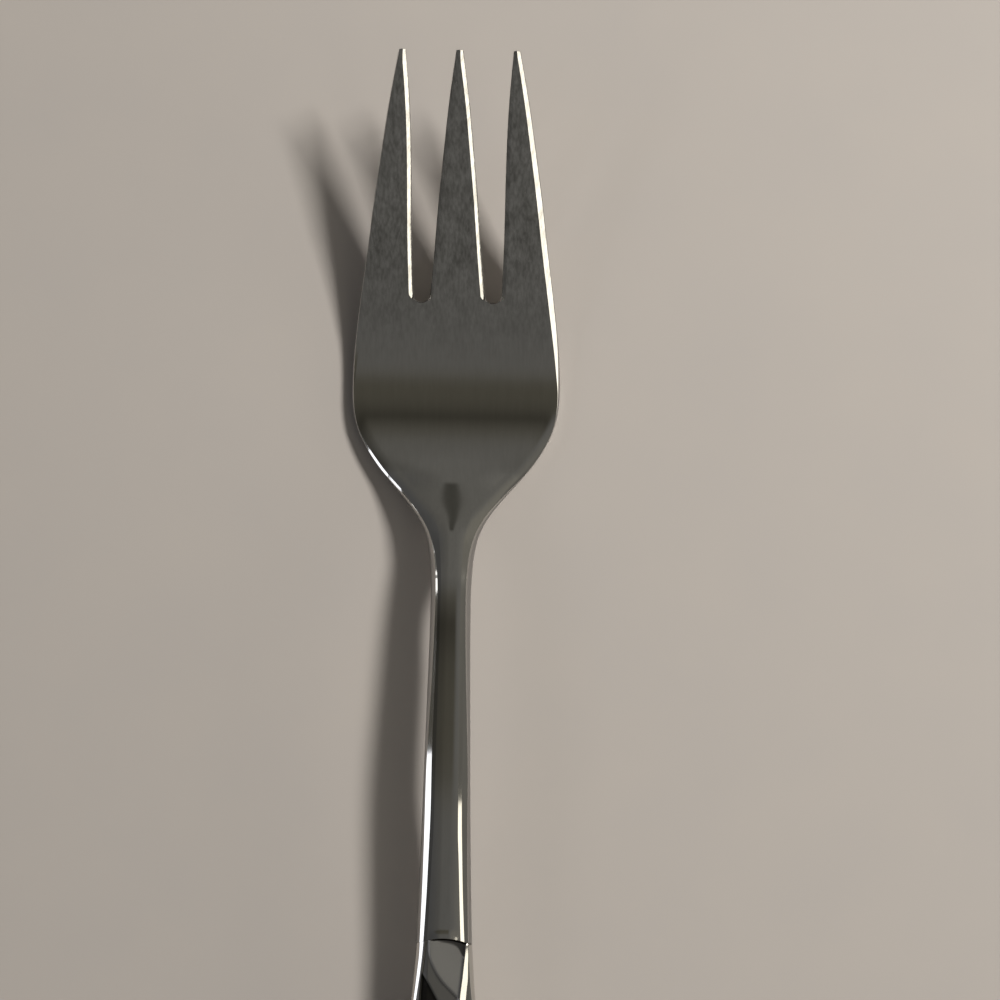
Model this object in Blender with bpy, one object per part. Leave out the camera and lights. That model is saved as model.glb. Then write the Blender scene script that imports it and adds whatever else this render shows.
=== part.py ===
"""Salad fork with a hollow handle: a stamped head whose tang is cemented into two soldered half shells.

Metres, +Z up, +Y towards the tine tips. The fork lies on its back on the plane z = 0, centred on x and y.
A station is a distance along the table from the tine tips towards the end of the handle.
"""

import math

import bmesh
import bpy

# Lengths along the table
TINE_LENGTH = 0.0283
PALM_LENGTH = 0.0344
NECK_LENGTH = 0.0431
HANDLE_LENGTH = 0.0622
TANG_LENGTH = 0.0360
END_ROUND_LENGTH = 0.0180
PALM_FLAT_LENGTH = 0.0060
REST_FLAT_LENGTH = 0.0070
END_WALL = 0.0014

# Widths in plan
TIP_WIDTH = 0.0007
TIP_PITCH = 0.0067
SLOT_WIDTH = 0.0021
SLOT_PITCH = 0.0088
ROOT_WIDTH = 0.0239
HEAD_WIDTH = 0.0259
HAUNCH_WIDTH = 0.0177
THROAT_WIDTH = 0.0079
NECK_WIDTH = 0.0049
SHOULDER_WIDTH = 0.0068
HANDLE_WIDTH = 0.0164
TANG_WIDTH = 0.0034

# Thicknesses
TIP_THICKNESS = 0.0012
HEAD_THICKNESS = 0.0019
NECK_THICKNESS = 0.0035
SHOULDER_THICKNESS = 0.0042
HANDLE_THICKNESS = 0.0050
END_THICKNESS = 0.0034
TANG_THICKNESS = 0.0013
SHELL_WALL = 0.0005
SOLDER_THICKNESS = 0.0002

# Heights of the back above the table
TIP_RISE = 0.0150
NECK_RISE = 0.0050
CREST_RISE = 0.0058
END_RISE = 0.0006

# Edges and facets
EDGE_BEVEL = 0.0004
TIP_BEVEL = 0.0002
PALM_FACET_WIDTH = 0.0012
NECK_FACET_WIDTH = 0.0014
FRONT_FACET_DROP = 0.0012
BACK_FACET_DROP = 0.0011
BACK_FACET_WIDTH = 0.0012
PANEL_RECESS = 0.00035
PANEL_EDGE_WIDTH = 0.0003

# Clearances
FIT_GAP = 0.0001
JOINT_GAP = 0.00015

# Slopes of the outline in plan and of the back in profile, towards the handle
TIP_SPLAY = 0.20
ROOT_SPLAY = 0.14
HAUNCH_TURN = -0.95
THROAT_TURN = -0.55
SHOULDER_FLARE = 0.05
MIDDLE_TIP_TAPER = 0.17
MIDDLE_ROOT_TAPER = 0.085
OUTER_TIP_TAPER = -0.12
OUTER_ROOT_TAPER = -0.01
TIP_FALL = -0.46
NECK_CLIMB = 0.07
END_CLIMB = 0.10
TIP_THICKENING = 0.04
NECK_THICKENING = 0.06
SHOULDER_THICKENING = 0.02
END_THINNING = -0.04

# Most that an edge or a facet may take of the wall it sits on
EDGE_LIMIT = 0.3
FACET_LIMIT = 0.36

# Stations, and where the outline turns within the palm
WIDEST_SHARE = 0.28
REST_SHARE = 0.42
HAUNCH_SHARE = 0.625
THROAT_SHARE = 0.796
CREST_SHARE = 0.54
ROOT = TINE_LENGTH
SLOT_RADIUS = SLOT_WIDTH / 2
ARC_START = ROOT - SLOT_RADIUS
WIDEST = ROOT + WIDEST_SHARE * PALM_LENGTH
PALM_REST = ROOT + REST_SHARE * PALM_LENGTH
HAUNCH = ROOT + HAUNCH_SHARE * PALM_LENGTH
THROAT = ROOT + THROAT_SHARE * PALM_LENGTH
NECK = ROOT + PALM_LENGTH
CREST = NECK + CREST_SHARE * NECK_LENGTH
SHOULDER = NECK + NECK_LENGTH
MOUTH = SHOULDER + JOINT_GAP
END = SHOULDER + HANDLE_LENGTH
FLARE = END - END_ROUND_LENGTH
HANDLE_REST = END - END_ROUND_LENGTH / 2

# Points closer than this are taken as one, and edges sharper than this are shaded sharp
TOUCH = 1e-6
SHARP_ANGLE = math.radians(25)

# Mesh counts
TINE_ROWS = 12
PALM_ROWS = 14
NECK_ROWS = 13
TANG_STEPS = 5
HANDLE_ROWS = 16
END_ROWS = 8
END_SWEEP = math.radians(80)
SLOT_COLUMNS = 4
HALF_COLUMNS = SLOT_COLUMNS + 3


def curve(*knots):
    """A smooth curve through knots of station, value and slope, read at any station."""

    def read(station):
        for (a, value_a, slope_a), (b, value_b, slope_b) in zip(knots, knots[1:]):
            if station <= b:
                break
        span = b - a
        t = min(max((station - a) / span, 0.0), 1.0)
        rise = value_b - value_a
        pull_a = slope_a * span - rise
        pull_b = rise - slope_b * span
        return value_a + t * rise + t * (1 - t) * ((1 - t) * pull_a + t * pull_b)

    return read


side_outline = curve(
    (0.0, TIP_PITCH + TIP_WIDTH / 2, TIP_SPLAY),
    (ROOT, ROOT_WIDTH / 2, ROOT_SPLAY),
    (WIDEST, HEAD_WIDTH / 2, 0.0),
    (HAUNCH, HAUNCH_WIDTH / 2, HAUNCH_TURN),
    (THROAT, THROAT_WIDTH / 2, THROAT_TURN),
    (NECK, NECK_WIDTH / 2, 0.0),
    (SHOULDER, SHOULDER_WIDTH / 2, SHOULDER_FLARE),
    (FLARE, HANDLE_WIDTH / 2, 0.0),
)
middle_tine_edge = curve(
    (0.0, TIP_WIDTH / 2, MIDDLE_TIP_TAPER),
    (ARC_START, SLOT_PITCH / 2 - SLOT_RADIUS, MIDDLE_ROOT_TAPER),
)
outer_tine_edge = curve(
    (0.0, TIP_PITCH - TIP_WIDTH / 2, OUTER_TIP_TAPER),
    (ARC_START, SLOT_PITCH / 2 + SLOT_RADIUS, OUTER_ROOT_TAPER),
)
thickness = curve(
    (0.0, TIP_THICKNESS, TIP_THICKENING),
    (WIDEST, HEAD_THICKNESS, 0.0),
    (PALM_REST, HEAD_THICKNESS, 0.0),
    (NECK, NECK_THICKNESS, NECK_THICKENING),
    (SHOULDER, SHOULDER_THICKNESS, SHOULDER_THICKENING),
    ((SHOULDER + FLARE) / 2, HANDLE_THICKNESS, 0.0),
    (END, END_THICKNESS, END_THINNING),
)
back_height = curve(
    (0.0, TIP_RISE, TIP_FALL),
    (PALM_REST - PALM_FLAT_LENGTH / 2, 0.0, 0.0),
    (PALM_REST + PALM_FLAT_LENGTH / 2, 0.0, 0.0),
    (NECK, NECK_RISE, NECK_CLIMB),
    (CREST, CREST_RISE, 0.0),
    (HANDLE_REST - REST_FLAT_LENGTH / 2, 0.0, 0.0),
    (HANDLE_REST + REST_FLAT_LENGTH / 2, 0.0, 0.0),
    (END, END_RISE, END_CLIMB),
)
facet_width = curve(
    (0.0, TIP_WIDTH / 2, 0.0),
    (ROOT, PALM_FACET_WIDTH, 0.0),
    (THROAT, PALM_FACET_WIDTH, 0.0),
    (NECK, NECK_FACET_WIDTH, 0.0),
)
facet_growth = curve(
    (WIDEST, 0.0, 0.0),
    (NECK, 1.0, 0.0),
)
panel_recess = curve(
    (FLARE, PANEL_RECESS, 0.0),
    (HANDLE_REST + REST_FLAT_LENGTH / 2, 0.0, 0.0),
)
edge_bevel = curve(
    (0.0, TIP_BEVEL, 0.0),
    (ARC_START, EDGE_BEVEL, 0.0),
)


def place(station):
    """World y of a station."""
    return END / 2 - station


def half_width(station):
    """Half the width of the fork in plan; the handle closes in part of an ellipse."""
    if station <= FLARE:
        return side_outline(station)
    sweep = math.asin(min((station - FLARE) / END_ROUND_LENGTH, 1.0) * math.sin(END_SWEEP))
    return HANDLE_WIDTH / 2 * math.cos(sweep)


def front_drop(station):
    """How far the side facet of the front falls from the ridge to the side."""
    return facet_growth(station) * min(FRONT_FACET_DROP, FACET_LIMIT * thickness(station))


def back_drop(station):
    """How far the side facet of the back rises to the side."""
    return facet_growth(station) * min(BACK_FACET_DROP, FACET_LIMIT * thickness(station))


def rim_bevel(station):
    """Width of the bevel round the head's edge, within the side and the tine that it sits on."""
    side = thickness(station) - front_drop(station) - back_drop(station)
    tine = middle_tine_edge(station) + TIP_WIDTH / 2
    return min(edge_bevel(station), EDGE_LIMIT * side, EDGE_LIMIT * tine)


def front_height(station):
    """Height of the flat front above the table."""
    return back_height(station) + thickness(station)


def ridge(station):
    """Half the width of the flat front, out to the ridge where the side facet begins."""
    return half_width(station) - min(facet_width(station), half_width(station) / 2)


def fall(x, station, drop):
    """How far a point beyond the ridge lies below the front, or above the back."""
    inner = ridge(station)
    outer = half_width(station)
    share = (abs(x) - inner) / (outer - inner)
    return drop(station) * min(max(share, 0.0), 1.0)


def seam_height(station):
    """Height of the seam between the half shells, halfway up the side."""
    top = front_height(station) - front_drop(station)
    bottom = back_height(station) + back_drop(station)
    return (top + bottom) / 2


def cavity_height(station):
    """Height of the middle of the hollow inside the handle."""
    return (front_height(station) - PANEL_RECESS + back_height(station)) / 2


def ease(share):
    """A share from 0 to 1 that starts and ends gently."""
    share = min(max(share, 0.0), 1.0)
    return share * share * (3 - 2 * share)


def head_rows():
    """Stations of the cross rows of the head: tines, palm and neck."""
    rows = [ARC_START * i / TINE_ROWS for i in range(TINE_ROWS)]
    rows += [ARC_START + (NECK - ARC_START) * i / PALM_ROWS for i in range(PALM_ROWS)]
    rows += [NECK + NECK_LENGTH * i / NECK_ROWS for i in range(NECK_ROWS + 1)]
    return rows


def head_point(column, row, rows):
    """Distance from the centre line and station of one point of the head's blank.

    Column 0 is the centre line, 1 to 5 run across the slot, 6 is the ridge and 7 the outer edge.
    """
    station = rows[row]
    if column == 0:
        return 0.0, station
    if column == HALF_COLUMNS:
        return half_width(station), station
    if column == HALF_COLUMNS - 1:
        return ridge(station), station
    across = (column - 1) / SLOT_COLUMNS
    if row < TINE_ROWS:
        inner = middle_tine_edge(station)
        return inner + across * (outer_tine_edge(station) - inner), station
    angle = math.pi * (1 - across)
    slot_x = SLOT_PITCH / 2 + SLOT_RADIUS * math.cos(angle)
    if row == TINE_ROWS:
        return slot_x, station + SLOT_RADIUS * math.sin(angle)
    even_x = ridge(station) * column / (HALF_COLUMNS - 1)
    share = ease((station - ARC_START) / (NECK - ARC_START))
    return slot_x + share * (even_x - slot_x), station


def in_slot(face):
    """True for a face of the numbered grid that lies between two tines."""
    columns = [abs(round(vert.co.x)) for vert in face.verts]
    rows = [round(vert.co.y) for vert in face.verts]
    return min(columns) >= 1 and max(columns) <= 1 + SLOT_COLUMNS and max(rows) <= TINE_ROWS


def head_blank(bm):
    """The flat blank: a grid numbered by column and row, pierced between the tines and laid out to size."""
    rows = head_rows()
    last = len(rows) - 1
    bmesh.ops.create_grid(bm, x_segments=2 * HALF_COLUMNS, y_segments=last, size=1.0)
    for vert in bm.verts:
        vert.co.x = round(vert.co.x * HALF_COLUMNS)
        vert.co.y = round((1 - vert.co.y) / 2 * last)
    pierced = [face for face in bm.faces if in_slot(face)]
    bmesh.ops.delete(bm, geom=pierced, context="FACES")
    for vert in bm.verts:
        column, row = int(vert.co.x), int(vert.co.y)
        x, station = head_point(abs(column), row, rows)
        vert.co.x = math.copysign(x, column)
        vert.co.y = place(station)


def on_shoulder(item):
    """True for an edge or a face that lies in the plane of the shoulder."""
    return all(abs(vert.co.y - place(SHOULDER)) < TOUCH for vert in item.verts)


def form_head(bm):
    """Bends the blank to the fork's profile, gives it its thickness and returns the edges of its rim."""
    for vert in bm.verts:
        station = END / 2 - vert.co.y
        vert.co.z = back_height(station) + fall(vert.co.x, station, back_drop)
    back_rim = [edge for edge in bm.edges if edge.is_boundary and not on_shoulder(edge)]
    raised = bmesh.ops.extrude_face_region(bm, geom=bm.faces[:])["geom"]
    for vert in raised:
        if isinstance(vert, bmesh.types.BMVert):
            station = END / 2 - vert.co.y
            vert.co.z = front_height(station) - fall(vert.co.x, station, front_drop)
    front_faces = {item for item in raised if isinstance(item, bmesh.types.BMFace)}
    front_edges = [item for item in raised if isinstance(item, bmesh.types.BMEdge)]
    front_rim = []
    for edge in front_edges:
        if len(front_faces.intersection(edge.link_faces)) == 1 and not on_shoulder(edge):
            front_rim.append(edge)
    return back_rim + front_rim


def tang_rows():
    """Stations of the tang's cross rows, from the shoulder to its end."""
    return [SHOULDER + TANG_LENGTH * i / TANG_STEPS for i in range(TANG_STEPS + 1)]


def draw_tang(bm):
    """Draws the tang out of the shoulder face, down the middle of the hollow handle."""
    cap = [face for face in bm.faces if on_shoulder(face)]
    middle = (front_height(SHOULDER) + back_height(SHOULDER)) / 2
    flattening = TANG_THICKNESS / SHOULDER_THICKNESS
    stations = tang_rows()
    for step, station in enumerate(stations):
        drawn = bmesh.ops.extrude_face_region(bm, geom=cap)["geom"]
        bmesh.ops.delete(bm, geom=cap, context="FACES")
        cap = [item for item in drawn if isinstance(item, bmesh.types.BMFace)]
        for vert in drawn:
            if not isinstance(vert, bmesh.types.BMVert):
                continue
            if step == 0:
                vert.co.x *= TANG_WIDTH / SHOULDER_WIDTH
                vert.co.z = cavity_height(station) + (vert.co.z - middle) * flattening
            else:
                vert.co.z += cavity_height(station) - cavity_height(stations[step - 1])
            vert.co.y = place(station)


def mark_rim(rim, weight):
    """Weights the edges around the head's outline for the edge bevel, less at the tips."""
    for edge in rim:
        station = END / 2 - max(vert.co.y for vert in edge.verts)
        edge[weight] = rim_bevel(station) / EDGE_BEVEL


def finish(bm, name, material):
    """Makes a named object of the mesh, with its faces pointing out and soft shading on its curves."""
    bmesh.ops.recalc_face_normals(bm, faces=bm.faces[:])
    mesh = bpy.data.meshes.new(name)
    bm.to_mesh(mesh)
    bm.free()
    mesh.shade_smooth()
    mesh.set_sharp_from_angle(angle=SHARP_ANGLE)
    made = bpy.data.objects.new(name, mesh)
    bpy.context.scene.collection.objects.link(made)
    if material is not None:
        mesh.materials.append(material)
    return made


def make_head(material):
    bm = bmesh.new()
    weight = bm.edges.layers.float.new("bevel_weight_edge")
    head_blank(bm)
    mark_rim(form_head(bm), weight)
    draw_tang(bm)
    head = finish(bm, "fork_head", material)
    rounding = head.modifiers.new("edge_bevel", "BEVEL")
    rounding.limit_method = "WEIGHT"
    rounding.width = EDGE_BEVEL
    rounding.segments = 1
    rounding.use_clamp_overlap = False
    return head


def handle_rows(first, last):
    """Stations of the cross rows of the handle, closer together round the end."""
    rows = [first + (FLARE - first) * i / HANDLE_ROWS for i in range(HANDLE_ROWS)]
    for i in range(END_ROWS + 1):
        sweep = END_SWEEP * i / END_ROWS
        rows.append(FLARE + (last - FLARE) * math.sin(sweep) / math.sin(END_SWEEP))
    return rows


def mirrored(half):
    """A whole section from its right half, listed from the front centre round to the back centre."""
    return half + [(-x, z) for x, z in reversed(half)]


def loft(rows, section):
    """A closed solid drawn through a section at each station, by extruding its end face."""
    bm = bmesh.new()
    face = bm.faces.new([bm.verts.new((x, place(rows[0]), z)) for x, z in section(rows[0])])
    for number, station in enumerate(rows[1:]):
        drawn = bmesh.ops.extrude_face_region(bm, geom=[face])["geom"]
        if number > 0:
            bmesh.ops.delete(bm, geom=[face], context="FACES")
        face = next(item for item in drawn if isinstance(item, bmesh.types.BMFace))
        for vert, (x, z) in zip(face.verts, section(station)):
            vert.co = (x, place(station), z)
    return bm


def front_section(station):
    """Front half of the handle: a recessed panel between two ridges, down to the seam."""
    top = front_height(station)
    panel = top - panel_recess(station)
    inner = ridge(station)
    panel_edge = inner - min(PANEL_EDGE_WIDTH, inner / 2)
    seam = seam_height(station) + SOLDER_THICKNESS / 2 + FIT_GAP
    side = half_width(station)
    return mirrored([(panel_edge, panel), (inner, top), (side, top - front_drop(station)), (side, seam)])


def back_section(station):
    """Back half of the handle: a plain faceted back, up to the seam."""
    bottom = back_height(station)
    side = half_width(station)
    flat = side - min(BACK_FACET_WIDTH, side / 2)
    seam = seam_height(station) - SOLDER_THICKNESS / 2 - FIT_GAP
    return mirrored([(side, seam), (side, bottom + back_drop(station)), (flat, bottom)])


def cavity_section(station, wall):
    """The hollow of the handle at a wall's distance from its outside, under the panel."""
    side = half_width(station) - wall
    front = front_height(station) - PANEL_RECESS - wall
    back = back_height(station) + wall
    corner = wall * math.tan(math.pi / 8)
    front_flat = ridge(station) - corner
    back_flat = half_width(station) - min(BACK_FACET_WIDTH, half_width(station) / 2) - corner
    front_corner = min(front_height(station) - front_drop(station) - corner, front)
    back_corner = max(back_height(station) + back_drop(station) + corner, back)
    return mirrored([(front_flat, front), (side, front_corner), (side, back_corner), (back_flat, back)])


def solder_section(station):
    """The full width of the solder line between the shells."""
    side = half_width(station) - FIT_GAP
    seam = seam_height(station)
    return mirrored([(side, seam + SOLDER_THICKNESS / 2), (side, seam - SOLDER_THICKNESS / 2)])


def tang_section(station, grow):
    """A rectangle round the tang, with the clearance that its cement fills."""
    side = TANG_WIDTH / 2 + grow
    middle = cavity_height(station)
    rise = TANG_THICKNESS / 2 + grow
    return mirrored([(side, middle + rise), (side, middle - rise)])


def cutter(bm, name):
    """A hidden object that only cuts others."""
    made = finish(bm, name, None)
    made.hide_render = True
    made.display_type = "WIRE"
    return made


def cut(target, tool):
    """Subtracts a cutter from an object."""
    boolean = target.modifiers.new("cut_" + tool.name, "BOOLEAN")
    boolean.operation = "DIFFERENCE"
    boolean.object = tool


def hollow_rows():
    """Stations of the hollow, open past the mouth and closed by the end wall."""
    return [SHOULDER - END_WALL] + handle_rows(MOUTH, END - END_WALL)


def make_handle(shell_material, solder_material, filler_material):
    outside = handle_rows(MOUTH, END)
    front = finish(loft(outside, front_section), "handle_front_shell", shell_material)
    back = finish(loft(outside, back_section), "handle_back_shell", shell_material)
    solder = finish(loft(outside, solder_section), "seam_solder", solder_material)
    hollow = cutter(loft(hollow_rows(), lambda s: cavity_section(s, SHELL_WALL)), "handle_hollow")
    for piece in (front, back, solder):
        cut(piece, hollow)
    filler_rows = handle_rows(MOUTH, END - END_WALL - FIT_GAP)
    filler_body = loft(filler_rows, lambda s: cavity_section(s, SHELL_WALL + FIT_GAP))
    filler = finish(filler_body, "handle_filler", filler_material)
    pocket_rows = [SHOULDER - END_WALL] + tang_rows() + [SHOULDER + TANG_LENGTH + FIT_GAP]
    pocket = cutter(loft(pocket_rows, lambda s: tang_section(s, FIT_GAP)), "tang_pocket")
    cut(filler, pocket)


def metal(name, colour, roughness):
    made = bpy.data.materials.new(name)
    made.use_nodes = True
    shader = made.node_tree.nodes["Principled BSDF"]
    shader.inputs["Base Color"].default_value = (*colour, 1.0)
    shader.inputs["Metallic"].default_value = 1.0
    shader.inputs["Roughness"].default_value = roughness
    return made


def cement(name, colour, roughness):
    made = metal(name, colour, roughness)
    made.node_tree.nodes["Principled BSDF"].inputs["Metallic"].default_value = 0.0
    return made


def main():
    for old in list(bpy.data.objects):
        bpy.data.objects.remove(old)
    make_head(metal("satin_steel", (0.42, 0.41, 0.39), 0.30))
    make_handle(
        metal("polished_steel", (0.50, 0.49, 0.47), 0.20),
        metal("silver_solder", (0.62, 0.61, 0.58), 0.30),
        cement("handle_cement", (0.16, 0.13, 0.10), 0.85),
    )
    pieces = list(bpy.data.objects)
    fork = bpy.data.objects.new("salad_fork", None)
    bpy.context.scene.collection.objects.link(fork)
    for piece in pieces:
        piece.parent = fork


main()
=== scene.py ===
import math

import bmesh
import bpy
import numpy as np
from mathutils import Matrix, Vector


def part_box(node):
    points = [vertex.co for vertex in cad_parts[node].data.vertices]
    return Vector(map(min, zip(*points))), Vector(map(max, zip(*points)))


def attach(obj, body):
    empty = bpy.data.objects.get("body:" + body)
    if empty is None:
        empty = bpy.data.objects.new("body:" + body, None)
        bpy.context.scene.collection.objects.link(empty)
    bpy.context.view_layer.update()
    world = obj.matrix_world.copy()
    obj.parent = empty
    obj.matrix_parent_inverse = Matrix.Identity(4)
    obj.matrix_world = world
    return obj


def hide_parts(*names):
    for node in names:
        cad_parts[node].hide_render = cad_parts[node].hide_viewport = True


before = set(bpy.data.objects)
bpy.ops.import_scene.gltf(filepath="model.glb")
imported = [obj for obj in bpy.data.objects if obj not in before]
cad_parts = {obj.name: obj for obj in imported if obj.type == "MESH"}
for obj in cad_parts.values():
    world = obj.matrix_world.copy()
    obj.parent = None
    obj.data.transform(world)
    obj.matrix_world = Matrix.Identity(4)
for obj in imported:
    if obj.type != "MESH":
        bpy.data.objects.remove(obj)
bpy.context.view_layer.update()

# The fork head is one stamping of stainless steel: three tines, the palm, the neck and a tang.
# The blank is pierced, bent over a former, ground along its length and chamfered all round.
# The tines keep a satin grain, the palm and neck are polished, and a low lip marks the joint.
MM = 0.001
TIP_SHY = 0.006
TIPS_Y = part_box("fork_head")[1].y / MM - TIP_SHY
END_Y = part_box("handle_back_shell")[0].y / MM

# Stations are millimetres along the table from the tine tips
SLOT_END = 28.5
NECK = 62.7
SHOULDER = 105.8
HANDLE_END = TIPS_Y - END_Y
FLARE = HANDLE_END - 18.0

SLOT_WIDTH = 2.1
SLOT_PITCH = 8.8
SLOT_CHAMFER = 0.5
TIP_ROUND = 0.22
TIP_FIRST_ANGLE = math.radians(55)
SLOT_TILT = math.radians(36)
ROUND_TILT = math.radians(52)
SIDE_TILT = math.radians(78)
CHAMFER_SHARE = 0.42
BACK_SHARE = 0.7
BELLY_SLOPE = math.tan(math.radians(51))
ROUND_STEPS = 4
FACET_STEPS = 4
FACET_CRISP_FROM = 53.0
FACET_CRISP_RUN = 6.0
SLOPE_STEP = 0.1
LEAST_FACET = 0.01
LIP_HEIGHT = 0.10
LIP_START = SHOULDER - 1.1
LIP_RUN = 0.55
LIP_HALF = 2.05
LIP_SIDE_RUN = 1.5
SLOT_RADIUS = SLOT_WIDTH / 2
ARC_START = SLOT_END - SLOT_RADIUS
ARC_NARROWING = 0.75
ARC_TURN_FROM = math.radians(14)
ARC_TURN_RUN = math.radians(34)


def batten(*knots):
    """The curve that a thin batten takes through knots of station and value, read at any station."""
    at, value = np.array(knots, float).T
    gap = np.diff(at)
    slope = np.diff(value) / gap
    spread = np.diag(2 * (gap[:-1] + gap[1:])) + np.diag(gap[1:-1], 1) + np.diag(gap[1:-1], -1)
    bend = np.zeros(len(at))
    bend[1:-1] = np.linalg.solve(spread, 6 * np.diff(slope))

    def read(station):
        station = min(max(station, at[0]), at[-1])
        i = min(int(np.searchsorted(at[1:], station)), len(gap) - 1)
        before, after, h = station - at[i], at[i + 1] - station, gap[i]
        straight = (value[i] * after + value[i + 1] * before) / h
        bow_a = bend[i] * after * (after * after / h - h) / 6
        bow_b = bend[i + 1] * before * (before * before / h - h) / 6
        return straight + bow_a + bow_b

    return read


def ease(share):
    """A share from 0 to 1 that starts and ends gently."""
    share = min(max(share, 0.0), 1.0)
    return share * share * (3 - 2 * share)


# Lines drawn along the fork: its outline, slots and heights, then the widths of the ground faces, in
# millimetres, with their tilts in degrees
half_width = batten(
    (0, 7.15), (5.8, 8.38), (11, 9.3), (16.5, 10.2), (22, 11.0), (30, 12.2), (38, 12.91), (43.8, 12.25),
    (49.7, 8.72), (55.7, 3.92), (60, 2.67), (66, 2.44), (80, 2.68), (SHOULDER, 3.39), (110.7, 3.66),
    (113, 3.84), (125, 5.2), (138, 7.3), (FLARE, 8.18), (FLARE + 8, 7.95),
)
middle_edge = batten((0, 0.42), (6, 1.28), (11, 1.82), (16.5, 2.38), (22, 2.84), (ARC_START, 3.35))
outer_edge = batten((0, 6.33), (5.8, 5.89), (11, 5.71), (16.5, 5.66), (22, 5.61), (ARC_START, 5.45))
front_line = batten(
    (0, 16.1), (5, 13.9), (10, 11.75), (15, 9.75), (20, 7.72), (25, 5.7), (30, 3.85), (33, 2.88),
    (36, 2.28), (39, 1.95), (41, 1.9), (46, 2.2), (50, 3.15), (54, 4.97), (54.9, 5.46), (55.6, 5.86),
    (56.2, 6.16), (57, 6.48), (60.5, 7.79), (62.5, 8.36), (64.5, 8.67), (70, 9.16), (80, 9.73),
    (88, 9.86), (96, 9.56), (SHOULDER, 8.84), (120, 7.75), (140, 5.48), (FLARE, 4.43), (159, 3.93),
    (HANDLE_END, 4.0),
)
thickness = batten(
    (0, 1.2), (10, 1.54), (20, 1.76), (36, 1.86), (43, 1.86), (50, 2.28), (56, 2.9), (NECK, 3.5),
    (70, 3.8), (90, 4.08), (SHOULDER, 4.2), (128, 4.95), (FLARE, 4.3), (159, 3.8), (HANDLE_END, 3.4),
)
belly_run = batten((57, 0.0), (60, 0.5), (64, 1.4), (70, 1.43), (90, 1.43), (98, 0.5), (103, 0.0))
ridge_line = batten(
    (28, 1.25), (38, 1.35), (46, 1.9), (50, 2.3), (53.3, 2.5), (55.6, 2.45), (58.6, 1.75), (62.4, 1.42),
    (70, 1.4), (80, 1.48), (90, 1.56), (96, 1.42), (101, 1.38), (SHOULDER, 1.35),
)
facet_tilt = batten(
    (40, 0.0), (44, 4.5), (48, 9.0), (53, 11.5), (57, 12.5), (62, 13.5), (80, 15.5), (95, 17.0),
    (SHOULDER, 18.0),
)
chamfer_tilt = batten(
    (0, 36.0), (6, 36.0), (12, 35.7), (22, 35.5), (30, 34.5), (41, 34.0), (45, 32.5), (48, 31.5),
    (51, 31.3), (52.4, 31.5), (54, 35.0), (57, 35.0), (58.5, 33.5), (60, 31.5), (62, 29.0), (66, 27.0),
    (80, 27.0), (SHOULDER, 27.0),
)
crown_line = batten(
    (46, 0.0), (49, 0.003), (50.4, 0.0062), (51.3, 0.0042), (52, 0.0034), (52.7, 0.003), (53.5, 0.0034),
    (54.3, 0.0048), (55.2, 0.0078), (56, 0.0125), (56.6, 0.026), (57.5, 0.033), (60, 0.036), (62, 0.038),
    (70, 0.038), (SHOULDER, 0.038),
)
chamfer_line = batten(
    (0, 0.42), (12, 0.58), (26, 0.66), (33, 0.52), (36, 0.32), (37.5, 0.2), (39, 0.06), (41, 0.02),
    (44, 0.04), (46, 0.22), (48, 0.36), (50, 0.38), (52, 0.3), (52.8, 0.16), (53.5, 0.05), (54.5, 0.02),
    (57, 0.02), (58.5, 0.08), (60, 0.15), (62, 0.2), (66, 0.27), (75, 0.4), (80, 0.5), (84, 0.6),
    (90, 0.68), (96, 0.6), (101, 0.54), (SHOULDER, 0.44),
)
round_line = batten(
    (0, 0.08), (10, 0.1), (30, 0.1), (34, 0.14), (37, 0.2), (40, 0.21), (44, 0.1), (46, 0.07),
    (48, 0.07), (50, 0.12), (51.5, 0.28), (53.5, 0.42), (57, 0.55), (62, 0.62), (66, 0.6), (74, 0.5),
    (80, 0.38), (84, 0.3), (90, 0.33), (96, 0.4), (101, 0.44), (SHOULDER, 0.46),
)


def place(station):
    """World y of a station, in millimetres."""
    return TIPS_Y - station


def tine_width(station):
    """Width of an outer tine, and of the palm beyond the slots."""
    if station < ARC_START:
        return half_width(station) - outer_edge(station)
    return half_width(station)


def rim_width(station):
    """Width of the chamfer along the outline."""
    return min(max(chamfer_line(station), 0.0), CHAMFER_SHARE * tine_width(station))


def slot_chamfer(station):
    """Width of the chamfer along the slots."""
    narrowest = min(tine_width(station), 2 * middle_edge(station))
    return min(SLOT_CHAMFER, CHAMFER_SHARE * narrowest)


def ridge_inset(station):
    """Distance from the outline to the ridge where the flat front begins."""
    rim = round_line(station) + rim_width(station)
    return max(min(ridge_line(station), tine_width(station) / 2), rim + LEAST_FACET)


def round_insets(width):
    """Distances from the outline of evenly turned points down a rounded side."""
    span = SIDE_TILT - ROUND_TILT
    turns = [math.sin(ROUND_TILT + span * i / ROUND_STEPS) for i in range(ROUND_STEPS + 1)]
    return [width * (turns[-1] - turn) / (turns[-1] - turns[0]) for turn in turns]


def round_fall(inset, width):
    """How far a rounded side has fallen at a distance in from the outline."""
    if inset >= width:
        return 0.0
    radius = width / (math.sin(SIDE_TILT) - math.sin(ROUND_TILT))
    turn = math.asin(math.sin(ROUND_TILT) + (width - inset) / radius)
    return radius * (math.cos(ROUND_TILT) - math.cos(turn))


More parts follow.
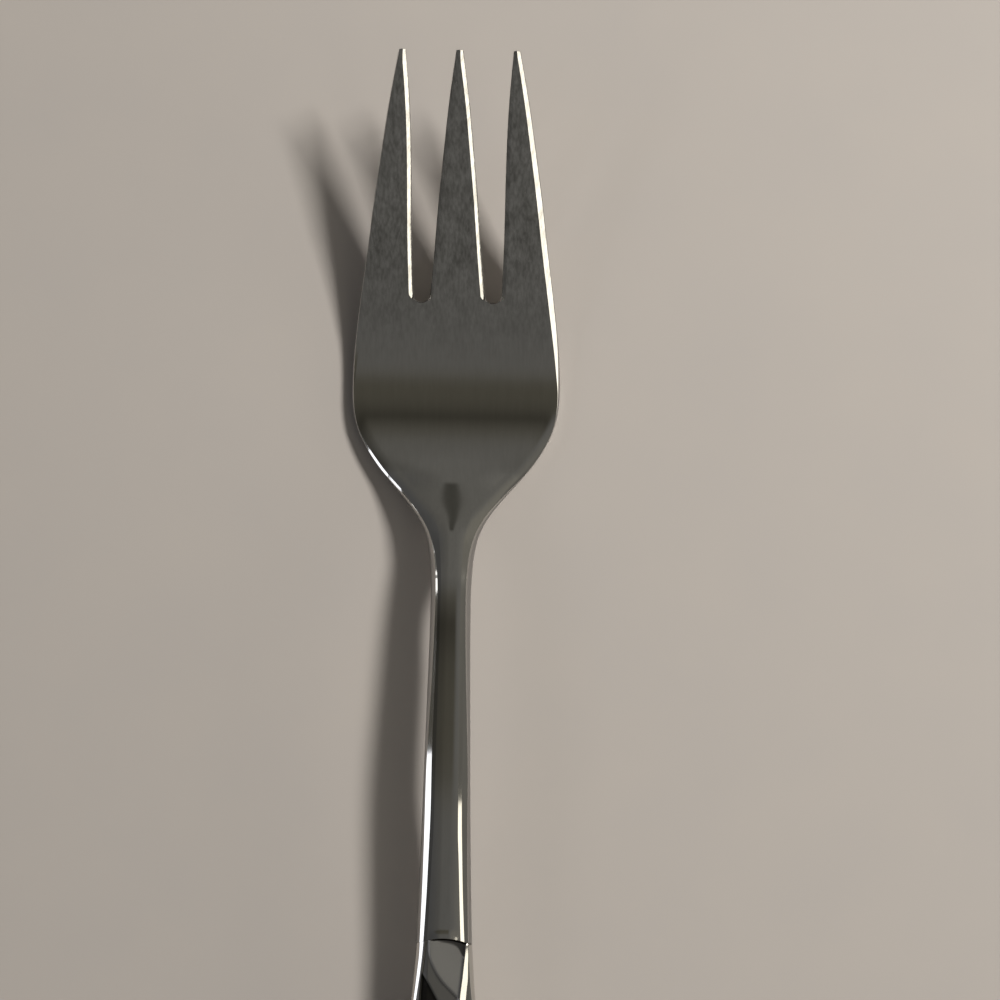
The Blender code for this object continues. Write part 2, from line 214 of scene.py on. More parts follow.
def edge_fall(inset, station):
    """How far the front falls in from the outline, by its facet, chamfer and rounded side."""
    side = round_line(station)
    rim = side + rim_width(station)
    reach = ridge_inset(station) - rim
    beyond = min(max(ridge_inset(station) - inset, 0.0), reach)
    soft = beyond * beyond / 2 / reach
    crisp = ease((station - FACET_CRISP_FROM) / FACET_CRISP_RUN)
    fall = math.tan(math.radians(max(facet_tilt(station), 0.0))) * (soft + (beyond - soft) * crisp)
    fall += math.tan(math.radians(chamfer_tilt(station))) * max(rim - max(inset, side), 0.0)
    flare = (half_width(station + SLOPE_STEP) - half_width(station - SLOPE_STEP)) / 2 / SLOPE_STEP
    return (fall + round_fall(inset, side)) / math.hypot(1.0, flare)


def arc_chamfer(across, along):
    """Width of the chamfer round the end of a slot, narrowest at the bottom."""
    turn = math.atan2(max(along, 0.0), abs(across))
    return SLOT_CHAMFER * (1 - ARC_NARROWING * ease((turn - ARC_TURN_FROM) / ARC_TURN_RUN))


def slot_fall(x, station):
    """How far the front falls at the chamfer along a slot."""
    chamfer = slot_chamfer(station)
    depth = math.tan(SLOT_TILT) * chamfer
    if station > ARC_START:
        across, along = x - SLOT_PITCH / 2, station - ARC_START
        away = math.hypot(across, along) - SLOT_RADIUS
        chamfer = arc_chamfer(across, along)
    elif x < SLOT_PITCH / 2:
        away = middle_edge(station) - x
    else:
        away = x - outer_edge(station)
    return depth * max(1 - max(away, 0.0) / chamfer, 0.0)


def head_fall(x, station):
    """How far a point of the head's front lies below its middle line."""
    fall = max(edge_fall(half_width(station) - x, station), slot_fall(x, station))
    flat = min(x, half_width(station) - ridge_inset(station))
    return fall + max(crown_line(station), 0.0) * flat * flat


def lip(x, station):
    """The low lip across the flat front of the neck, against the handle."""
    return LIP_HEIGHT * ease((station - LIP_START) / LIP_RUN) * ease((LIP_HALF - x) / LIP_SIDE_RUN)


def back_rise(x, station):
    """How far a point of the head's back lies above its middle line: the neck's back is rounded."""
    belly = BELLY_SLOPE * (belly_run(station) - half_width(station) + x)
    return max(BACK_SHARE * head_fall(x, station), belly)


# Cross rows: round the tips, down the tines, over the palm and along the neck
TIP_ROWS = 6
TINE_ROWS = 44
PALM_ROWS = 62
NECK_ROWS = 64
SLOT_STEPS = 12
FIRST_PALM_ROW = 0.45
RELAX_ROWS = 10
SPREAD_ROWS = 32
NECK_CROWDING = 1.4

tip_angles = [
    TIP_FIRST_ANGLE + (math.pi / 2 - TIP_FIRST_ANGLE) * i / TIP_ROWS for i in range(TIP_ROWS + 1)
]
rows = [TIP_ROUND * (math.cos(TIP_FIRST_ANGLE) - math.cos(angle)) for angle in tip_angles]
tine_start = rows[-1]
rows += [tine_start + (ARC_START - tine_start) * (i + 1) / TINE_ROWS for i in range(TINE_ROWS)]
ARC_ROW = len(rows) - 1
palm_start = ARC_START + FIRST_PALM_ROW
rows += [palm_start + (NECK - palm_start) * i / PALM_ROWS for i in range(PALM_ROWS)]
rows += [
    NECK + (SHOULDER - NECK) * (1 - (1 - i / NECK_ROWS) ** NECK_CROWDING) for i in range(NECK_ROWS + 1)
]

# Columns of one half: the middle tine's chamfer and edge, the slot, and the outer tine to its side
INNER_RIDGE = 1
INNER_EDGE = 2
OUTER_EDGE = INNER_EDGE + SLOT_STEPS
OUTER_RIDGE = OUTER_EDGE + 1
FACET = OUTER_EDGE + 2
RIM = FACET + FACET_STEPS
ROUND = RIM + 1
SIDE = ROUND + ROUND_STEPS
ARC_SQUEEZE = math.radians(12)
ARC_SHY_X = 0.4
ARC_SHY_Y = 0.3


def outer_inset(column, station):
    """Distance from the outline of one of the columns beside it."""
    if column <= RIM:
        rim = round_line(station) + rim_width(station)
        return ridge_inset(station) + (rim - ridge_inset(station)) * (column - FACET) / FACET_STEPS
    return round_insets(round_line(station))[column - ROUND]


def tine_x(column, station):
    """Distance from the middle line of a column on a tine, with the tips rounded."""
    inner, outer, side = middle_edge(station), outer_edge(station), half_width(station)
    spots = {
        0: 0.0,
        INNER_RIDGE: inner - slot_chamfer(station),
        INNER_EDGE: inner,
        OUTER_EDGE: outer,
        OUTER_RIDGE: outer + slot_chamfer(station),
    }
    if column >= FACET:
        x = side - outer_inset(column, station)
    else:
        x = spots.get(column, SLOT_PITCH / 2)
    middle = 0.0 if column <= INNER_EDGE else (outer + side) / 2
    turn = math.cos(TIP_FIRST_ANGLE) - station / TIP_ROUND
    close = math.sqrt(1 - turn * turn) if turn > 0 else 1.0
    return middle + (x - middle) * close


def arc_point(column, radius, first_angle):
    """A slot column's point on an arc round the end of the slot, as distances across and along."""
    share = (column - INNER_EDGE) / SLOT_STEPS
    angle = math.pi - first_angle - (math.pi - 2 * first_angle) * share
    return SLOT_PITCH / 2 + radius * math.cos(angle), radius * math.sin(angle)


def palm_point(column, row):
    """A point below the slots: rows that bend round the slot's end and straighten towards the neck."""
    station = rows[row]
    even = (half_width(station) - ridge_inset(station)) * column / FACET
    share = ease((row - ARC_ROW - 1) / SPREAD_ROWS)
    straight = ease((row - ARC_ROW - 1) / RELAX_ROWS)
    radius = SLOT_RADIUS + SLOT_CHAMFER
    if column == 0 or column >= FACET:
        return even, station
    if column in (INNER_RIDGE, OUTER_RIDGE):
        outward = 1 if column == OUTER_RIDGE else -1
        x = SLOT_PITCH / 2 + outward * (radius + ARC_SHY_X)
        bulge = ARC_SHY_Y - FIRST_PALM_ROW
    else:
        x, bulge = arc_point(column, SLOT_RADIUS, ARC_SQUEEZE)
        x, bulge = arc_point(column, SLOT_RADIUS + arc_chamfer(x - SLOT_PITCH / 2, bulge), ARC_SQUEEZE)
        bulge -= FIRST_PALM_ROW
    return x + share * (even - x), station + (1 - straight) * bulge


def head_point(column, row):
    """Distance from the middle line and station of one point of the head's blank."""
    station = rows[row]
    if row > ARC_ROW and column > FACET:
        return half_width(station) - outer_inset(column, station), station
    if row > ARC_ROW:
        return palm_point(column, row)
    if row == ARC_ROW and INNER_EDGE <= column <= OUTER_EDGE:
        x, bulge = arc_point(column, SLOT_RADIUS, 0.0)
        return x, station + bulge
    return tine_x(column, station), station


def in_slot(face):
    """True for a face of the numbered grid that lies between two tines."""
    columns = [abs(round(vert.co.x)) for vert in face.verts]
    deepest = max(round(vert.co.y) for vert in face.verts)
    return min(columns) >= INNER_EDGE and max(columns) <= OUTER_EDGE and deepest <= ARC_ROW


def numbered_grid(bm, columns, last_row):
    """A flat grid numbered from -columns to columns across and from 0 to last_row along."""
    bmesh.ops.create_grid(bm, x_segments=2 * columns, y_segments=last_row, size=1.0)
    column_of, row_of = [bm.verts.layers.int.new(name) for name in ("column", "row")]
    for vert in bm.verts:
        vert.co.x = round(vert.co.x * columns)
        vert.co.y = round((1 - vert.co.y) / 2 * last_row)
        vert[column_of], vert[row_of] = abs(round(vert.co.x)), round(vert.co.y)
    return column_of, row_of


bm = bmesh.new()
column_of, row_of = numbered_grid(bm, SIDE, len(rows) - 1)
bmesh.ops.delete(bm, geom=[face for face in bm.faces if in_slot(face)], context="FACES")
numbered = {(round(vert.co.x), round(vert.co.y)): vert for vert in bm.verts}
for hand in (-1, 1):
    for ridge, edge in ((INNER_RIDGE, INNER_EDGE), (OUTER_RIDGE, OUTER_EDGE)):
        corner = [numbered[hand * ridge, ARC_ROW], numbered[hand * edge, ARC_ROW + 1]]
        bmesh.ops.connect_verts(bm, verts=corner)
for (column, row), vert in numbered.items():
    x, station = head_point(abs(column), row)
    back = front_line(station) - thickness(station)
    vert.co = (math.copysign(x, column), place(station), back + back_rise(x, station))
raised = bmesh.ops.extrude_face_region(bm, geom=bm.faces[:])["geom"]
for vert in [item for item in raised if isinstance(item, bmesh.types.BMVert)]:
    station = TIPS_Y - vert.co.y
    x = abs(vert.co.x)
    vert.co.z = front_line(station) + lip(x, station) - head_fall(x, station)

# The tang is drawn out of the shoulder, down the middle of the hollow below the handle's panel
TANG_LENGTH = 36.0
TANG_WIDTH = 3.2
TANG_THICKNESS = 1.1
TANG_STEPS = 6
TANG_ROW = -1
PANEL_DEPTH = 0.42


def hollow_middle(station):
    """Height of the middle of the hollow in the handle."""
    return front_line(station) - (thickness(station) + PANEL_DEPTH) / 2


cap = [face for face in bm.faces if all(abs(v.co.y - place(SHOULDER)) < MM for v in face.verts)]
cap_middle = front_line(SHOULDER) - thickness(SHOULDER) / 2
for step in range(TANG_STEPS + 1):
    station = SHOULDER + TANG_LENGTH * step / TANG_STEPS
    drawn = bmesh.ops.extrude_face_region(bm, geom=cap)["geom"]
    bmesh.ops.delete(bm, geom=cap, context="FACES")
    cap = [item for item in drawn if isinstance(item, bmesh.types.BMFace)]
    for vert in [item for item in drawn if isinstance(item, bmesh.types.BMVert)]:
        if step == 0:
            vert.co.x *= TANG_WIDTH / 2 / half_width(SHOULDER)
            vert.co.z = cap_middle + (vert.co.z - cap_middle) * TANG_THICKNESS / thickness(SHOULDER)
            last_middle = cap_middle
        else:
            vert.co.z += hollow_middle(station) - last_middle
        vert.co.y = place(station)
        vert[row_of] = TANG_ROW
    last_middle = hollow_middle(station) if step else cap_middle

# The neck ends in a bow, which the mouth of the handle follows
JOINT_BOW = 0.075
BOW_RUN = 4.0


def bow(x, station):
    """How far the joint with the handle bows away from the tines at a distance from the middle line."""
    return JOINT_BOW * x * x * ease(1 - abs(station - SHOULDER) / BOW_RUN)


for vert in bm.verts:
    if vert[row_of] != TANG_ROW:
        vert.co.y -= bow(vert.co.x, TIPS_Y - vert.co.y)

# Grinding leaves ridges that are sharp; the outer edges of the slots and the tips are broken by hand
RIDGE_START = 57.0
EDGE_BREAK = 0.05


def slot_ring(ends, ring, row):
    """True for an edge on a ring round a slot: its outer edge or the ridge of its chamfer."""
    (column_a, row_a), (column_b, row_b) = ends
    if column_a == column_b and row_a != row_b:
        return column_a in ring and row_b <= ARC_ROW
    return row_a == row_b == row and INNER_EDGE <= column_a and column_b <= OUTER_EDGE


def is_ridge(ends):
    """True for an edge between two numbered points where two ground faces meet."""
    (column_a, row_a), (column_b, row_b) = ends
    if column_a == column_b and row_a != row_b and TANG_ROW not in (row_a, row_b):
        return column_a in (RIM, ROUND) or (column_a == FACET and rows[row_a] > RIDGE_START)
    if row_a == row_b == len(rows) - 1:
        return True
    inner_corner = [(INNER_RIDGE, ARC_ROW), (INNER_EDGE, ARC_ROW + 1)]
    outer_corner = [(OUTER_EDGE, ARC_ROW + 1), (OUTER_RIDGE, ARC_ROW)]
    return ends in (inner_corner, outer_corner)


weight = bm.edges.layers.float.new("bevel_weight_edge")
for edge in bm.edges:
    ends = sorted((vert[column_of], vert[row_of]) for vert in edge.verts)
    at_tip = ends[0][1] == ends[1][1] == 0 and ends[0][0] != ends[1][0]
    edge[weight] = float(at_tip or slot_ring(ends, (INNER_EDGE, OUTER_EDGE), ARC_ROW))
    edge.smooth = not (is_ridge(ends) or slot_ring(ends, (INNER_RIDGE, OUTER_RIDGE), ARC_ROW + 1))


def make_piece(bm, name, material, slot_name, *nodes):
    """Makes a piece of a mesh modelled in millimetres and lets it stand for its solids."""
    bmesh.ops.scale(bm, vec=(MM, MM, MM), verts=bm.verts[:])
    mesh = bpy.data.meshes.new(name)
    bm.to_mesh(mesh)
    bm.free()
    mesh.shade_smooth()
    mesh.materials.append(material)
    piece = bpy.data.objects.new(name, mesh)
    bpy.context.scene.collection.objects.link(piece)
    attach(piece, "root")
    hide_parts(*nodes)
    return piece


def soften(piece, width):
    """Rounds the piece's crisp edges by their weights."""
    rounding = piece.modifiers.new("edge_rounding", "BEVEL")
    rounding.limit_method = "WEIGHT"
    rounding.width = width * MM
    rounding.segments = 2
    rounding.profile = 0.5
    rounding.material = -1
    rounding.use_clamp_overlap = False


def flatten(piece):
    """Keeps the piece's broad faces flat to the light."""
    shading = piece.modifiers.new("flat_faces", "WEIGHTED_NORMAL")
    shading.weight = 80
    shading.keep_sharp = True


def linear(code):
    """Linear colour of an sRGB hex code."""
    parts = [int(code[i:i + 2], 16) / 255 for i in (1, 3, 5)]
    return (*[((c + 0.055) / 1.055) ** 2.4 if c > 0.04045 else c / 12.92 for c in parts], 1.0)


def add(tree, kind, settings=None, links=None):
    """Adds a node, sets its properties and inputs by name or number, and links its inputs."""
    made = tree.nodes.new("ShaderNode" + kind)
    for key, value in (settings or {}).items():
        if isinstance(key, int) or key in made.inputs:
            made.inputs[key].default_value = value
        else:
            setattr(made, key, value)
    for key, source in (links or {}).items():
        tree.links.new(source, made.inputs[key])
    return made


def new_material(name, constants):
    """Starts a material: sets its shader's constants and gives its tree, shader and place on the piece."""
    material = bpy.data.materials.new(name)
    material.use_nodes = True
    tree = material.node_tree
    shader = tree.nodes["Principled BSDF"]
    for key, value in constants.items():
        shader.inputs[key].default_value = value
    return material, tree, shader, add(tree, "TexCoord").outputs["Object"]


# Ground stainless steel: a grey metal streaked along the tines, with patches and a few scratches.
# The palm and neck are polished, and the upright sides stay dull and darker.
# The real grain is a few hundredths of a millimetre wide, and is drawn as coarse as it needs to show.
GRAIN_WIDTH = 0.16
GRAIN_LENGTH = 9.0
GRAIN_DEPTH = 0.02
GRAIN_STRENGTH = 0.1
STREAK_WIDTH = 0.3
STREAK_LENGTH = 8.0
STREAK_RANGE = {"From Min": 0.34, "From Max": 0.66}
PATCH_WIDTH = 1.1
PATCH_LENGTH = 3.0
PATCH_RANGE = {"From Min": 0.35, "From Max": 0.65}
PATCH_SHARE = 0.45
SCRATCH_WIDTH = 0.11
SCRATCH_LENGTH = 7.0
SCRATCH_TURN = 24
SCRATCH_RANGE = {"From Min": 0.71, "From Max": 0.76}
POLISH_FROM = 61.0
POLISH_TO = 48.0
POLISHED_WEAR = {"To Min": 0.5, "To Max": 0.6}
POLISHED_ROUGHNESS = 0.06
SATIN_ROUGHNESS = {"To Min": 0.08, "To Max": 0.14}
SIDE_RANGE = {"From Min": 0.5, "From Max": 0.65, "To Min": 1.0, "To Max": 0.0}
SIDE_ROUGHNESS = 0.32
STEEL_DARK = "#A6A49F"
STEEL_LIGHT = "#E4E2DE"
STEEL_SIDE = "#9F9E9D"
steel, tree, shader, coordinates = new_material("ground_stainless_steel", {"Metallic": 1.0})


def drawn_noise(width, length, turn, detail):
    """Noise drawn out along the steel, or at an angle to it, to a real width and length."""
    scale = (1 / (width * MM), 1 / (length * MM), 1 / (width * MM))
    turned = add(tree, "Mapping", {"Rotation": (0.0, 0.0, math.radians(turn))}, {"Vector": coordinates})
    drawn = add(tree, "Mapping", {"Scale": scale}, {"Vector": turned.outputs[0]})
    noise = add(tree, "TexNoise", {"Scale": 1.0, "Detail": detail}, {"Vector": drawn.outputs[0]})
    return noise.outputs["Fac"]


length_way = add(tree, "SeparateXYZ", None, {0: coordinates}).outputs["Y"]
ground = add(
    tree, "MapRange", {"From Min": POLISH_TO * MM, "From Max": POLISH_FROM * MM}, {"Value": length_way},
).outputs[0]
streaks = drawn_noise(STREAK_WIDTH, STREAK_LENGTH, 0, 4.0)
streak = add(tree, "MapRange", STREAK_RANGE, {"Value": streaks}).outputs[0]
patches = drawn_noise(PATCH_WIDTH, PATCH_LENGTH, 0, 3.0)
patch = add(tree, "MapRange", PATCH_RANGE, {"Value": patches}).outputs[0]
scratches = drawn_noise(SCRATCH_WIDTH, SCRATCH_LENGTH, SCRATCH_TURN, 1.0)
scratch = add(tree, "MapRange", SCRATCH_RANGE, {"Value": scratches}).outputs[0]
mixed = add(tree, "Mix", {"Factor": PATCH_SHARE}, {"A": streak, "B": patch}).outputs["Result"]
worn = add(tree, "Math", {"operation": "MAXIMUM"}, {0: mixed, 1: scratch}).outputs[0]
faint = add(tree, "MapRange", POLISHED_WEAR, {"Value": worn}).outputs[0]
share = add(tree, "Mix", None, {"Factor": ground, "A": faint, "B": worn}).outputs["Result"]
greys = {"data_type": "RGBA", "A": linear(STEEL_DARK), "B": linear(STEEL_LIGHT)}
tone = add(tree, "Mix", greys, {"Factor": share}).outputs["Result"]
satin = add(tree, "MapRange", SATIN_ROUGHNESS, {"Value": worn}).outputs[0]
face = add(tree, "Mix", {"A": POLISHED_ROUGHNESS}, {"Factor": ground, "B": satin}).outputs["Result"]
upright = add(tree, "SeparateXYZ", None, {0: add(tree, "NewGeometry").outputs["Normal"]}).outputs["Z"]
level = add(tree, "Math", {"operation": "ABSOLUTE"}, {0: upright}).outputs[0]
side_face = add(tree, "MapRange", SIDE_RANGE, {"Value": level}).outputs[0]
side_grey = {"data_type": "RGBA", "B": linear(STEEL_SIDE)}
dull = add(tree, "Mix", side_grey, {"Factor": side_face, "A": tone})
tree.links.new(dull.outputs["Result"], shader.inputs["Base Color"])
roughness = add(tree, "Mix", {"B": SIDE_ROUGHNESS}, {"Factor": side_face, "A": face})
tree.links.new(roughness.outputs["Result"], shader.inputs["Roughness"])
grain = drawn_noise(GRAIN_WIDTH, GRAIN_LENGTH, 0, 3.0)
relief = add(tree, "Math", {"operation": "MULTIPLY"}, {0: grain, 1: ground}).outputs[0]
grain_relief = {"Strength": GRAIN_STRENGTH, "Distance": GRAIN_DEPTH * MM}
bump = add(tree, "Bump", grain_relief, {"Height": relief})
tree.links.new(bump.outputs[0], shader.inputs["Normal"])

bmesh.ops.recalc_face_normals(bm, faces=bm.faces[:])
head = make_piece(bm, "stamped_head", steel, "head_steel", "fork_head")
soften(head, EDGE_BREAK)
flatten(head)

# The front of the hollow handle is stamped from thin stainless sheet, with leaves on a sunk ground.
# Its rim carries the neck's facets on, polished bright, and the ground is left dark round the leaves.
# It is soldered to the back shell along the sides and filled with cement round the tang.
JOINT = 0.01
SEAM_GAP = 0.22
SHELL_WALL = 0.4
END_SHY = 0.02
END_REACH = HANDLE_END - FLARE - END_SHY
PANEL_COLUMNS = 30
SHELL_ROWS = 200
END_ROWS = 60
LEAF_DEPTH = 0.06
LEFT_WALL_RUN = 0.1
RIGHT_WALL_RUN = 0.45
GROOVE_WIDTH = 0.26
GROOVE_RUN = 2.0
GROOVE_LEFT = -2.0
GROOVE_LEFT_RUN = 0.9
GROOVE_RIGHT = 2.7
GROOVE_RIGHT_RUN = 0.3
MOUTH = SHOULDER + JOINT

# Distances in from the outline of the panel's edge, the facet's start and break, the chamfer and the
# rounded side; the two sides are faceted differently near the joint
left_panel = batten((SHOULDER, 1.2), (110, 1.0), (113, 1.0), (120, 1.7), (125, 1.8), (HANDLE_END, 1.8))
right_panel = batten(
    (SHOULDER, 0.68), (107.2, 0.8), (108.4, 0.95), (109.6, 1.12), (110.8, 1.31), (112, 1.54),
    (113, 1.72), (125, 1.8), (HANDLE_END, 1.8),
)
left_facet = batten((SHOULDER, 1.5), (108.3, 1.62), (113, 1.82), (125, 1.8), (HANDLE_END, 1.8))
left_break = batten(
    (SHOULDER, 0.99), (107.2, 0.96), (108.4, 0.93), (109.6, 0.89), (110.8, 0.83), (112, 0.77),
    (113, 0.73), (120, 0.95), (125, 1.1), (HANDLE_END, 1.1),
)
right_break = batten(
    (SHOULDER, 0.45), (107.2, 0.47), (108.4, 0.53), (109.6, 0.6), (110.8, 0.68), (112, 0.87),
    (113, 1.03), (125, 1.1), (HANDLE_END, 1.1),
)
left_rim = batten(
    (SHOULDER, 0.93), (107.2, 0.9), (108.4, 0.87), (109.6, 0.83), (110.8, 0.77), (112, 0.7),
    (113, 0.65), (125, 0.6), (HANDLE_END, 0.7),
)
right_rim = batten(
    (SHOULDER, 0.42), (107.2, 0.44), (108.4, 0.49), (110.8, 0.56), (113, 0.6), (125, 0.6),
    (HANDLE_END, 0.7),
)
left_round = batten(
    (SHOULDER, 0.5), (107.2, 0.52), (108.4, 0.51), (109.6, 0.47), (110.8, 0.43), (113, 0.36),
    (125, 0.25), (HANDLE_END, 0.3),
)
right_round = batten(
    (SHOULDER, 0.38), (107.2, 0.4), (108.4, 0.42), (110.8, 0.42), (113, 0.38), (125, 0.25),
    (HANDLE_END, 0.3),
)
left_side = (left_facet, left_break, left_rim, left_round)
right_side = (right_panel, right_break, right_rim, right_round)
SHELL_FACET = math.tan(math.radians(16.5))
SHELL_BREAK_SLOPE = math.tan(math.radians(22))
SHELL_CHAMFER = math.tan(math.radians(27))


def shell_fall(inset, station, edges):
    """How far the shell's outer face falls in from the outline, by the edges of one side."""
    start, turn, rim, side = [edge(station) for edge in edges]
    facet = SHELL_FACET * max(start - max(inset, turn), 0.0)
    lower = SHELL_BREAK_SLOPE * max(turn - max(inset, rim), 0.0)
    chamfer = SHELL_CHAMFER * max(rim - max(inset, side), 0.0)
    return facet + lower + chamfer + round_fall(inset, side)


def seam_height(station):
    """Height of the seam between the two shells."""
    fall = shell_fall(0.0, station, left_side)
    return front_line(station) - (thickness(station) + fall - BACK_SHARE * fall) / 2


shell_rows = [(MOUTH + (FLARE - MOUTH) * i / SHELL_ROWS, 0.0) for i in range(SHELL_ROWS)]
shell_rows += [(FLARE, math.pi / 2 * i / END_ROWS) for i in range(END_ROWS + 1)]


def on_outline(row, inset):
    """Distance across and station of a point a little in from the handle's outline."""
    station, turn = shell_rows[row]
    if station < FLARE:
        return half_width(station) - inset, station
    across = (half_width(FLARE) - inset) * math.cos(turn)
    return across, FLARE + (END_REACH - inset) * math.sin(turn)


# A large leaf starts at the mouth; a wavy stem follows, with leaves on both sides and one at its end
MOUTH_LEAF_END = 9.0
leaf_edge = batten(
    (-1, -2.1), (0.5, -2.05), (2.4, -1.9), (3.85, -1.35), (5.4, -0.35), (7.1, 1.3), (MOUTH_LEAF_END, 3.0),
)
pit_edge = batten((3, -3.7), (4.65, -2.73), (5.8, -2.0), (7.1, -1.3), (MOUTH_LEAF_END, -0.2))
LEAF_EDGE_RUN = 0.35
PIT_EDGE_RUN = 0.4
PIT_RISE = 0.62
STEM_WAVE = 18.0
STEM_SWAY = 0.9
STEM_SPAN = (8.0, 52.0)
STEM_HALF = 0.42
STEM_RISE = 0.7
LEAF_PITCH = 5.2
FIRST_LEAF = 9.0
LEAF_COUNT = 8
LEAF_LENGTH = 7.2
LEAF_WIDTH = 3.0
LEAF_LEAN = 0.55
LEAF_FIRST_SIZE = 0.75
LEAF_GROWTH = 0.06
LEAF_FULLNESS = 0.75
LEAF_LEAST_HALF = 0.05
END_LEAF_ROOT = 49.0
END_LEAF_LENGTH = 9.0
END_LEAF_WIDTH = 4.4
RIB_DEPTH = 0.3
RIB_WIDTH = 0.16


def leaf_rise(x, along, root_x, root_along, lean, length, width):
    """How far one leaf stands up, from 0 at its outline to 1, with a groove along its midrib."""
    dx, da = x - root_x, along - root_along
    reach = (dx * math.sin(lean) + da * math.cos(lean)) / length
    aside = dx * math.cos(lean) - da * math.sin(lean)
    if not 0 < reach < 1:
        return 0.0
    half = width / 2 * math.sin(math.pi * reach ** LEAF_FULLNESS)
    if abs(aside) >= half or half < LEAF_LEAST_HALF:
        return 0.0
    rib = RIB_DEPTH * math.exp(-((aside / RIB_WIDTH) ** 2)) * (1 - reach)
    return (1 - (aside / half) ** 2) ** 0.5 - rib


def stem_x(along):
    """Distance of the wavy stem from the middle line."""
    return STEM_SWAY * math.sin(2 * math.pi * (along - FIRST_LEAF) / STEM_WAVE)


def panel_rise(x, along):
    """How far the ornament stands up from the sunk ground: 0 on the ground and 1 on the leaves."""
    rise = [0.0]
    if along < MOUTH_LEAF_END:
        rise.append(ease((x - leaf_edge(along)) / LEAF_EDGE_RUN))
        rise.append(PIT_RISE * ease((x - pit_edge(along)) / PIT_EDGE_RUN))
    if STEM_SPAN[0] < along < STEM_SPAN[1]:
        rise.append(STEM_RISE * max(1 - ((x - stem_x(along)) / STEM_HALF) ** 2, 0.0) ** 0.5)
    for number in range(LEAF_COUNT):
        root = FIRST_LEAF + LEAF_PITCH * number
        lean = LEAF_LEAN if number % 2 else -LEAF_LEAN
        size = LEAF_FIRST_SIZE + LEAF_GROWTH * number
        rise.append(leaf_rise(x, along, stem_x(root), root, lean, LEAF_LENGTH * size, LEAF_WIDTH * size))
    rise.append(leaf_rise(x, along, 0.0, END_LEAF_ROOT, 0.0, END_LEAF_LENGTH, END_LEAF_WIDTH))
    return max(rise)


def panel_depth(x, flat, station):
    """How far the panel lies below the handle's front."""
    rise = min(max(panel_rise(x, station - SHOULDER), 0.0), 1.0)
    depth = PANEL_DEPTH + (LEAF_DEPTH - PANEL_DEPTH) * rise
    run = LEFT_WALL_RUN if x < 0 else RIGHT_WALL_RUN
    return depth * (1 - ease((abs(x) - flat + run) / run))


# Painted shade under the lip: how far below the mouth it reaches across the front
lip_shade_reach = batten(
    (-1.2, -0.4), (-0.6, 0.1), (0.6, 0.42), (1.4, 0.6), (1.9, 1.1), (2.3, 1.9), (2.7, 2.0),
)
LIP_SHADE = 0.62
LIP_SHADE_RUN = 0.5
WALL_COLUMNS = 2


def painted_lip_shade(column, x, along):
    """Painted shade under the lip and beside the panel's left wall, drawn in the oxide black."""
    if column < 0 and -column >= PANEL_COLUMNS - WALL_COLUMNS:
        return LIP_SHADE
    return LIP_SHADE * ease((lip_shade_reach(x) - along) / LIP_SHADE_RUN + 0.5)


SHELL_BREAK = PANEL_COLUMNS + 1
SHELL_RIM = PANEL_COLUMNS + 2
SHELL_ROUND = PANEL_COLUMNS + 3
SEAM = SHELL_ROUND + ROUND_STEPS + 1
SHELL_RIDGES = (PANEL_COLUMNS, SHELL_BREAK, SHELL_RIM, SHELL_ROUND)
MERGE = 0.001


def groove(x, station):
    """How far the front's mouth stands back from the neck, to leave the dark line of the joint."""
    left = ease((x - GROOVE_LEFT) / GROOVE_LEFT_RUN)
    right = 1 - ease((x - GROOVE_RIGHT) / GROOVE_RIGHT_RUN)
    return GROOVE_WIDTH * left * right * max(1 - (station - MOUTH) / GROOVE_RUN, 0.0)


def shell_point(column, row, front):
    """A point of a shell's outer face and its darkening, by oxide in the ground and painted shade."""
    side = abs(column)
    station = shell_rows[row][0]
    edges = left_side if column < 0 else right_side
    depth = dark = 0.0
    if side <= PANEL_COLUMNS:
        inset = (left_panel if column < 0 else right_panel)(station)
        flat, station = on_outline(row, inset)
        x = flat * side / PANEL_COLUMNS
        fall = shell_fall(flat + inset - x, station, edges)
        if front and side < PANEL_COLUMNS:
            depth = panel_depth(math.copysign(x, column), flat, station)
        # Painted shade under the lip and beside the panel's left wall
        if front and column < PANEL_COLUMNS:
            dark = painted_lip_shade(column, math.copysign(x, column), station - MOUTH)
    else:
        _, turn, rim, rounding = [edge(station) for edge in edges]
        insets = [turn, rim, *round_insets(rounding), 0.0]
        inset = insets[side - SHELL_BREAK]
        x, station = on_outline(row, inset)
        fall = shell_fall(inset, station, edges)
    if front:
        z = front_line(station) - fall - depth
    else:
        z = front_line(station) - thickness(station) + BACK_SHARE * fall
    if side == SEAM:
        z = seam_height(station) + (SEAM_GAP / 2 if front else -SEAM_GAP / 2)
    x = math.copysign(x, column)
    along = station + bow(x, station) + (groove(x, station) if front else 0.0)
    return (x, place(along), z), max(depth / PANEL_DEPTH, dark)


